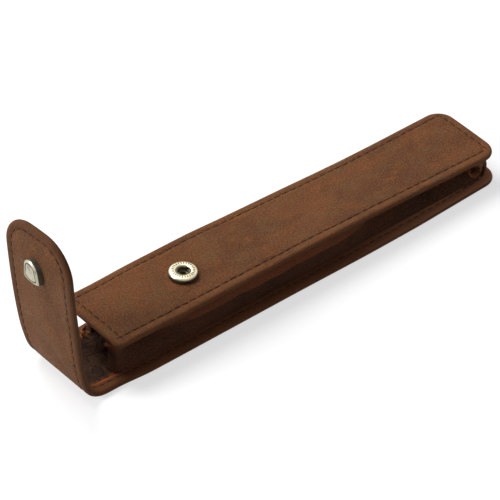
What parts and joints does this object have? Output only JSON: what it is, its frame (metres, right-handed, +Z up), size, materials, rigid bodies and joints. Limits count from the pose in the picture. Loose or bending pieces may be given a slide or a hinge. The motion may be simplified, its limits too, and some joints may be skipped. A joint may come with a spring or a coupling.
{
  "type": "pen case",
  "caption": "Slim leather pen case with a stitched front and back, a folding gusset and a long flap that closes over the mouth with a snap.",
  "frame": {"origin": "on the underside of the back panel, on the centre line, below the middle of the front panel", "axes": "+X from the mouth to the closed end, +Z up from the table through back, pocket and front, +Y completes a right-handed frame"},
  "size_m": [0.185, 0.0344, 0.0667],
  "materials": {
    "cover_leather": "waxed, mottled",
    "lining": "rough suede",
    "gusset_leather": "thin, dark",
    "board": "fibreboard",
    "antique_metal": "antiqued, pale",
    "spring_steel": "drawn wire"
  },
  "bodies": {
    "back": {"back_leather": "cover_leather", "back_board": "board", "back_lining": "lining", "gusset": "gusset_leather"},
    "spine": {"spine_leather": "cover_leather", "spine_lining": "lining"},
    "flap": {"flap_leather": "cover_leather", "flap_board": "board", "flap_lining": "lining", "shield_cap": "antique_metal", "cap_rivet": "antique_metal", "stud": "antique_metal"},
    "front": {"front_leather": "cover_leather", "front_board": "board", "front_lining": "lining", "socket_shell": "antique_metal", "ring_spring": "spring_steel", "socket_post": "antique_metal"}
  },
  "joints": [
    {"name": "flap_base_fold", "type": "hinge", "parent": "back", "child": "spine", "pos_m": [-0.0833, 0, 0.0011], "axis": [0, 1, 0], "range_deg": [-27, 63]},
    {"name": "flap_top_fold", "type": "hinge", "parent": "spine", "child": "flap", "pos_m": [-0.09827, 0, 0.00873], "axis": [0, 1, 0], "range_deg": [-57, 27.18]},
    {"name": "pocket_squeeze", "type": "slide", "parent": "back", "child": "front", "axis": [0, 0, 1], "range_m": [-0.004, 0], "stiffness_N_per_m": 300, "springref_m": 0.001, "deforming": ["gusset"]}
  ]
}
